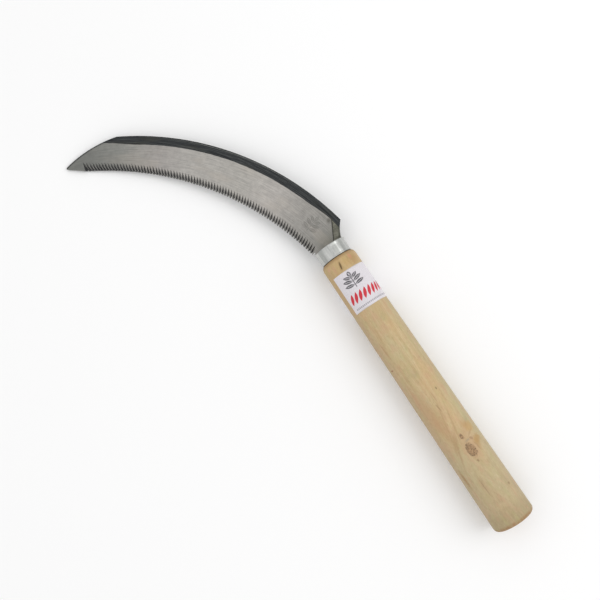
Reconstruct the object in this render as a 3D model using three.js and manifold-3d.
// Hand sickle: a saw-toothed curved blade whose tang is pinned into a turned wooden handle,
// with a metal ferrule over the joint and a paper band round the grip. Millimetres, +Z up.
//
// The tool is drawn in tool axes and then laid down as it rests on a table:
//   +X runs down the handle from the ferrule's mouth to the butt,
//   -Y is the side that the blade hooks towards,
//   +Z faces out of the blade's ground side.

import * as THREE from 'three';
import { mergeVertices } from 'three/addons/utils/BufferGeometryUtils.js';
import Module from 'manifold-3d';

const wasm = await Module();
wasm.setup();

// ---------------------------------------------------------------- driving dimensions

const CLEARANCE = 0.3;              // gap kept between pieces that touch

// Blade outline
const PLATE_THICKNESS = 2.0;
const SPINE_RADIUS = 192.4;
const SPINE_CENTRE = new THREE.Vector2(27.5, -173.2);
const HEEL_CORNER = new THREE.Vector2(-10.1, 15.1);
const TIP_CORNER = new THREE.Vector2(-136.9, -73.2);
const TIP_RADIUS = 83;
const NOSE = new THREE.Vector2(-139.5, -111.4);
const NOSE_RADIUS = 0.9;
const NOSE_END = new THREE.Vector2(-138.4, -112.2);
const NECK_RADIUS = 24;             // hollow curve between the heel corner and the ferrule
const NECK_HALF_WIDTH = 9.1;        // on the spine side, at the ferrule
const NECK_TOOTH_SIDE = 9.8;        // on the toothed side, at the ferrule

// Ground bevel: a shallow cone about the spine's centre, so its ridge runs parallel to the spine
const BAND_WIDTH = 5.7;             // unground band between the spine and the ridge
const BEVEL_SLOPE = 0.045;
const BEVEL_REACH = 40;             // how far the cone is drawn inwards, past the toothed edge
const CREASE_START = new THREE.Vector2(-13.6, 10.9);
const CREASE_END = new THREE.Vector2(-2.2, 4.7);

// Saw teeth: V-grooves cut slantwise into the ground face along an arc
const TOOTH_COUNT = 84;
const TOOTH_RADIUS = 197.1;
const TOOTH_CENTRE = new THREE.Vector2(38.3, -204.4);
const FIRST_TOOTH_ANGLE = 148.7;    // degrees about the tooth centre, at the blade's tip
const LAST_TOOTH_ANGLE = 101.7;     // at the heel
const LAST_GULLET = new THREE.Vector2(-1.0, 2.4); // from the last tooth's point to the neck
const GROOVE_LENGTH = 5.3;
const GROOVE_SLOPE = 0.31;          // fall of the groove's floor along its length
const GROOVE_HALF_ANGLE = 50;
const GROOVE_LEAN_TIP = 30;         // degrees from the edge's normal, towards the handle
const GROOVE_LEAN_HEEL = 20;

// Tang
const TANG_LENGTH = 72;
const TANG_HALF_WIDTH = 6;
const TANG_END_HALF_WIDTH = 2.5;
const TANG_POINT = 4;

// Ferrule
const FERRULE_LENGTH = 8.9;
const FERRULE_MOUTH_RADIUS = 10.4;
const FERRULE_BACK_RADIUS = 10.2;
const FERRULE_WALL = 0.8;
const FERRULE_RIM = 0.25;           // chamfer on both rims

// Handle
const HANDLE_END = 196.8;           // the butt's flat end
const HANDLE_SMALL_RADIUS = 11.6;   // just behind the shoulder
const HANDLE_SHOULDER_LENGTH = 3.2;
const HANDLE_BUTT_RADIUS = 13.5;
const BUTT_ROUNDING = 3;
const SPIGOT_START = 1.0;

// Tang pin
const PIN_X = 17.2;
const PIN_Y = -1.2;
const PIN_RADIUS = 0.8;
const PIN_DEPTH = 7;                // below the tang's middle
const PIN_SUNK = 0.7;

// Paper label
const LABEL_START = 19.3;
const LABEL_HEIGHT = 25.7;
const LABEL_GAP = 0.05;
const LABEL_THICKNESS = 0.12;
const LABEL_EDGE_ANGLE = 49.5;      // its left edge, from +Z towards -Y
const LABEL_OPEN_ANGLE = 60;        // bare wood between its two edges

// Facets in turned shapes
const TURNED_SEGMENTS = 64;
const CONE_SEGMENTS = 360;
const PIN_SEGMENTS = 16;
const ROUNDING_STEPS = 6;

// ---------------------------------------------------------------- helpers

const degrees = THREE.MathUtils.degToRad;

// A three.js geometry as a manifold solid.
function solid(geometry) {
  const bare = geometry.index ? geometry.toNonIndexed() : geometry.clone();
  bare.deleteAttribute('normal');
  bare.deleteAttribute('uv');
  const merged = mergeVertices(bare, 1e-4);
  const mesh = new wasm.Mesh({
    numProp: 3,
    vertProperties: new Float32Array(merged.attributes.position.array),
    triVerts: new Uint32Array(merged.index.array),
  });
  return new wasm.Manifold(mesh);
}

// A manifold solid as a three.js geometry.
function geometryOf(manifold) {
  const mesh = manifold.getMesh();
  const geometry = new THREE.BufferGeometry();
  geometry.setAttribute('position', new THREE.BufferAttribute(mesh.vertProperties, 3));
  geometry.setIndex(new THREE.BufferAttribute(mesh.triVerts, 1));
  geometry.computeVertexNormals();
  return geometry;
}

// A closed profile of (x, radius) points turned about the X axis.
function turned(profile) {
  const points = profile.map(([x, radius]) => new THREE.Vector2(radius, x));
  return new THREE.LatheGeometry(points, TURNED_SEGMENTS).rotateZ(-Math.PI / 2);
}

// Points along an arc from `start` to `end`, without its first one. The arc turns left about a
// centre on its left when `turn` is 1, and right about a centre on its right when it is -1.
function arcPoints(start, end, radius, turn, steps) {
  const chord = end.clone().sub(start);
  const toCentre = Math.sqrt(radius ** 2 - chord.lengthSq() / 4);
  const left = new THREE.Vector2(-chord.y, chord.x).normalize();
  const centre = start.clone().addScaledVector(chord, 0.5).addScaledVector(left, turn * toCentre);
  const sweep = turn * 2 * Math.asin(chord.length() / 2 / radius);
  const points = [];
  for (let i = 1; i <= steps; i += 1) {
    points.push(start.clone().rotateAround(centre, (sweep * i) / steps));
  }
  return points;
}

// Radius of the turned grip at x.
const GRIP_START = FERRULE_LENGTH + CLEARANCE + HANDLE_SHOULDER_LENGTH;
const TAPER = (HANDLE_BUTT_RADIUS - HANDLE_SMALL_RADIUS) / (HANDLE_END - GRIP_START);
const gripRadius = (x) => HANDLE_SMALL_RADIUS + TAPER * (x - GRIP_START);

// The blind hole for the tang pin, from above the grip down through the tang.
function pinHole() {
  const radius = PIN_RADIUS + CLEARANCE;
  const top = 2 * HANDLE_SMALL_RADIUS;
  const bottom = -PIN_DEPTH - CLEARANCE;
  return solid(new THREE.CylinderGeometry(radius, radius, top - bottom, PIN_SEGMENTS)
    .rotateX(Math.PI / 2)
    .translate(PIN_X, PIN_Y, (top + bottom) / 2));
}

// ---------------------------------------------------------------- blade

function pointOnToothArc(angle, radius = TOOTH_RADIUS) {
  return new THREE.Vector2(Math.cos(degrees(angle)), Math.sin(degrees(angle)))
    .multiplyScalar(radius)
    .add(TOOTH_CENTRE);
}

function bladeOutline() {
  const shoulder = -CLEARANCE;
  const firstTooth = pointOnToothArc(FIRST_TOOTH_ANGLE);
  const lastTooth = pointOnToothArc(LAST_TOOTH_ANGLE);
  const neckSpineSide = new THREE.Vector2(shoulder, NECK_HALF_WIDTH);
  return new THREE.Shape([
    HEEL_CORNER,
    ...arcPoints(HEEL_CORNER, TIP_CORNER, SPINE_RADIUS, 1, 46),
    ...arcPoints(TIP_CORNER, NOSE, TIP_RADIUS, 1, 10),
    ...arcPoints(NOSE, NOSE_END, NOSE_RADIUS, 1, 3),
    firstTooth,
    ...arcPoints(firstTooth, lastTooth, TOOTH_RADIUS, -1, TOOTH_COUNT - 1),
    lastTooth.clone().add(LAST_GULLET),
    new THREE.Vector2(shoulder, -NECK_TOOTH_SIDE),
    new THREE.Vector2(shoulder, -TANG_HALF_WIDTH),
    new THREE.Vector2(TANG_LENGTH - TANG_POINT, -TANG_END_HALF_WIDTH),
    new THREE.Vector2(TANG_LENGTH, 0),
    new THREE.Vector2(TANG_LENGTH - TANG_POINT, TANG_END_HALF_WIDTH),
    new THREE.Vector2(shoulder, TANG_HALF_WIDTH),
    neckSpineSide,
    ...arcPoints(neckSpineSide, HEEL_CORNER, NECK_RADIUS, -1, 6).slice(0, -1),
  ]);
}

// The part of the plate that the bevel grinds away: everything above a shallow cone, short of
// the crease that runs from the heel into the ferrule, and short of the tang.
function grinding() {
  const top = PLATE_THICKNESS / 2;
  const above = 2 * PLATE_THICKNESS;
  const ridge = SPINE_RADIUS - BAND_WIDTH;
  const inner = ridge - BEVEL_REACH;
  const ring = [
    [ridge, top],
    [ridge, above],
    [inner, above],
    [inner, top - BEVEL_SLOPE * BEVEL_REACH],
    [ridge, top],
  ];
  const points = ring.map(([radius, z]) => new THREE.Vector2(radius, z));
  const cone = new THREE.LatheGeometry(points, CONE_SEGMENTS)
    .rotateX(Math.PI / 2)
    .translate(SPINE_CENTRE.x, SPINE_CENTRE.y, 0);
  const along = CREASE_END.clone().sub(CREASE_START);
  const guardSize = 8 * along.length();
  const neckGuard = new THREE.BoxGeometry(guardSize, guardSize, guardSize)
    .translate(guardSize / 2, guardSize / 2, 0)
    .rotateZ(along.angle())
    .translate(CREASE_START.x, CREASE_START.y, 0);
  const tangGuard = new THREE.BoxGeometry(guardSize, guardSize, guardSize)
    .translate(guardSize / 2, 0, 0);
  return solid(cone).subtract(solid(neckGuard)).subtract(solid(tangGuard));
}

// One V-groove between two teeth: a long prism whose lower edge enters the ground face
// GROOVE_LENGTH behind the edge and falls towards it.
function groove(index) {
  const share = (index + 0.5) / (TOOTH_COUNT - 1);
  const angle = THREE.MathUtils.lerp(FIRST_TOOTH_ANGLE, LAST_TOOTH_ANGLE, share);
  const lean = degrees(THREE.MathUtils.lerp(GROOVE_LEAN_TIP, GROOVE_LEAN_HEEL, share));
  const outward = new THREE.Vector2(-Math.cos(degrees(angle)), -Math.sin(degrees(angle)));
  outward.rotateAround(new THREE.Vector2(), lean);
  const length = 2 * GROOVE_LENGTH;
  const height = 2 * PLATE_THICKNESS;
  const halfWidth = height * Math.tan(degrees(GROOVE_HALF_ANGLE));
  const section = new THREE.Shape([
    new THREE.Vector2(0, 0),
    new THREE.Vector2(halfWidth, height),
    new THREE.Vector2(-halfWidth, height),
  ]);
  const prism = new THREE.ExtrudeGeometry(section, { depth: length, bevelEnabled: false });
  const run = new THREE.Vector3(outward.x, outward.y, -GROOVE_SLOPE).normalize();
  const across = new THREE.Vector3(0, 0, 1).cross(run).normalize();
  const up = run.clone().cross(across);
  const edge = pointOnToothArc(angle);
  const start = edge.addScaledVector(outward, -GROOVE_LENGTH);
  const fromSpine = start.distanceTo(SPINE_CENTRE);
  const faceZ = PLATE_THICKNESS / 2 - BEVEL_SLOPE * (SPINE_RADIUS - BAND_WIDTH - fromSpine);
  prism.applyMatrix4(new THREE.Matrix4().makeBasis(across, up, run));
  prism.translate(start.x, start.y, faceZ);
  return solid(prism);
}

function bladeGeometry() {
  const plate = new THREE.ExtrudeGeometry(bladeOutline(), {
    depth: PLATE_THICKNESS,
    bevelEnabled: false,
  }).translate(0, 0, -PLATE_THICKNESS / 2);
  let blade = solid(plate).subtract(grinding());
  for (let index = 0; index < TOOTH_COUNT - 1; index += 1) {
    blade = blade.subtract(groove(index));
  }
  return geometryOf(blade.subtract(pinHole()));
}

// ---------------------------------------------------------------- ferrule

function ferruleGeometry() {
  const mouthBore = FERRULE_MOUTH_RADIUS - FERRULE_WALL;
  const backBore = FERRULE_BACK_RADIUS - FERRULE_WALL;
  return turned([
    [0, mouthBore],
    [0, FERRULE_MOUTH_RADIUS - FERRULE_RIM],
    [FERRULE_RIM, FERRULE_MOUTH_RADIUS],
    [FERRULE_LENGTH - FERRULE_RIM, FERRULE_BACK_RADIUS],
    [FERRULE_LENGTH, FERRULE_BACK_RADIUS - FERRULE_RIM],
    [FERRULE_LENGTH, backBore],
    [0, mouthBore],
  ]);
}

// ---------------------------------------------------------------- handle

function handleProfile() {
  const bore = FERRULE_WALL + CLEARANCE;
  const shoulderX = FERRULE_LENGTH + CLEARANCE;
  const shoulderRise = HANDLE_SMALL_RADIUS - FERRULE_BACK_RADIUS;
  const buttFlat = HANDLE_BUTT_RADIUS - BUTT_ROUNDING;
  const shoulder = [];
  const butt = [];
  for (let i = 0; i <= ROUNDING_STEPS; i += 1) {
    const turn = (i / ROUNDING_STEPS) * (Math.PI / 2);
    shoulder.push([
      shoulderX + HANDLE_SHOULDER_LENGTH * (1 - Math.cos(turn)),
      FERRULE_BACK_RADIUS + shoulderRise * Math.sin(turn),
    ]);
    butt.push([
      HANDLE_END - BUTT_ROUNDING * (1 - Math.sin(turn)),
      buttFlat + BUTT_ROUNDING * Math.cos(turn),
    ]);
  }
  return [
    [SPIGOT_START, 0],
    [SPIGOT_START, FERRULE_MOUTH_RADIUS - bore],
    [shoulderX, FERRULE_BACK_RADIUS - bore],
    ...shoulder,
    ...butt,
    [HANDLE_END, 0],
  ];
}

// The slot that the tang is driven into: the tang's own shape with clearance, open at the ferrule.
function tangSlot() {
  const mouthHalf = TANG_HALF_WIDTH + CLEARANCE;
  const endHalf = TANG_END_HALF_WIDTH + CLEARANCE;
  const end = TANG_LENGTH + CLEARANCE;
  const height = PLATE_THICKNESS + 2 * CLEARANCE;
  const outline = new THREE.Shape([
    new THREE.Vector2(-SPIGOT_START, -mouthHalf),
    new THREE.Vector2(end, -endHalf),
    new THREE.Vector2(end, endHalf),
    new THREE.Vector2(-SPIGOT_START, mouthHalf),
  ]);
  return solid(new THREE.ExtrudeGeometry(outline, { depth: height, bevelEnabled: false })
    .translate(0, 0, -height / 2));
}

function handleGeometry() {
  return geometryOf(solid(turned(handleProfile())).subtract(tangSlot()).subtract(pinHole()));
}

// ---------------------------------------------------------------- tang pin

function pinGeometry() {
  const top = gripRadius(PIN_X) - PIN_SUNK;
  return new THREE.CylinderGeometry(PIN_RADIUS, PIN_RADIUS, top + PIN_DEPTH, PIN_SEGMENTS)
    .rotateX(Math.PI / 2)
    .translate(PIN_X, PIN_Y, (top - PIN_DEPTH) / 2);
}

// ---------------------------------------------------------------- label

function labelGeometry() {
  const end = LABEL_START + LABEL_HEIGHT;
  const inside = (x) => gripRadius(x) + LABEL_GAP;
  const band = turned([
    [LABEL_START, inside(LABEL_START)],
    [LABEL_START, inside(LABEL_START) + LABEL_THICKNESS],
    [end, inside(end) + LABEL_THICKNESS],
    [end, inside(end)],
    [LABEL_START, inside(LABEL_START)],
  ]);
  const reach = 2 * HANDLE_BUTT_RADIUS;
  const gapFrom = degrees(LABEL_EDGE_ANGLE);
  const gapTo = degrees(LABEL_EDGE_ANGLE + LABEL_OPEN_ANGLE);
  const corner = (angle) => new THREE.Vector2(-reach * Math.sin(angle), reach * Math.cos(angle));
  const wedge = new THREE.Shape([new THREE.Vector2(0, 0), corner(gapFrom), corner(gapTo)]);
  const cut = new THREE.ExtrudeGeometry(wedge, { depth: 2 * LABEL_HEIGHT, bevelEnabled: false })
    .applyMatrix4(new THREE.Matrix4().makeBasis(
      new THREE.Vector3(0, 1, 0), new THREE.Vector3(0, 0, 1), new THREE.Vector3(1, 0, 0),
    ))
    .translate(LABEL_START - LABEL_HEIGHT / 2, 0, 0);
  return geometryOf(solid(band).subtract(solid(cut)));
}

// ---------------------------------------------------------------- assembly

function piece(name, geometry, color, roughness, metalness) {
  const material = new THREE.MeshStandardMaterial({ color, roughness, metalness });
  const mesh = new THREE.Mesh(geometry, material);
  mesh.name = name;
  return mesh;
}

// Lying on a table, the handle's tapered side touches all along and the blade's nose touches too.
// The handle's axis tips by its taper, and the tool rolls about that axis until the nose is down:
// below any x of the axis, the table is gripRadius(x) away.
const restPitch = -Math.atan(TAPER);
const noseReach = Math.hypot(NOSE_END.y, PLATE_THICKNESS / 2);
const restRoll = Math.asin(gripRadius(NOSE_END.x) / noseReach)
  - Math.atan2(PLATE_THICKNESS / 2, -NOSE_END.y);

const tool = new THREE.Group();
tool.add(piece('blade', bladeGeometry(), 0x9a9690, 0.42, 0.9));
tool.add(piece('ferrule', ferruleGeometry(), 0xc4c6c4, 0.35, 0.9));
tool.add(piece('handle', handleGeometry(), 0xd8bd8c, 0.6, 0));
tool.add(piece('tang_pin', pinGeometry(), 0x4a4038, 0.6, 0.8));
tool.add(piece('label', labelGeometry(), 0xdddbe2, 0.55, 0));
tool.rotation.set(restRoll, restPitch, 0, 'YXZ');

// The origin is the centre of the resting box's bottom.
const sickle = new THREE.Group();
sickle.add(tool);
sickle.updateMatrixWorld(true);
const box = new THREE.Box3().setFromObject(tool, true);
tool.position.set(-(box.min.x + box.max.x) / 2, -(box.min.y + box.max.y) / 2, -box.min.z);

export default sickle;
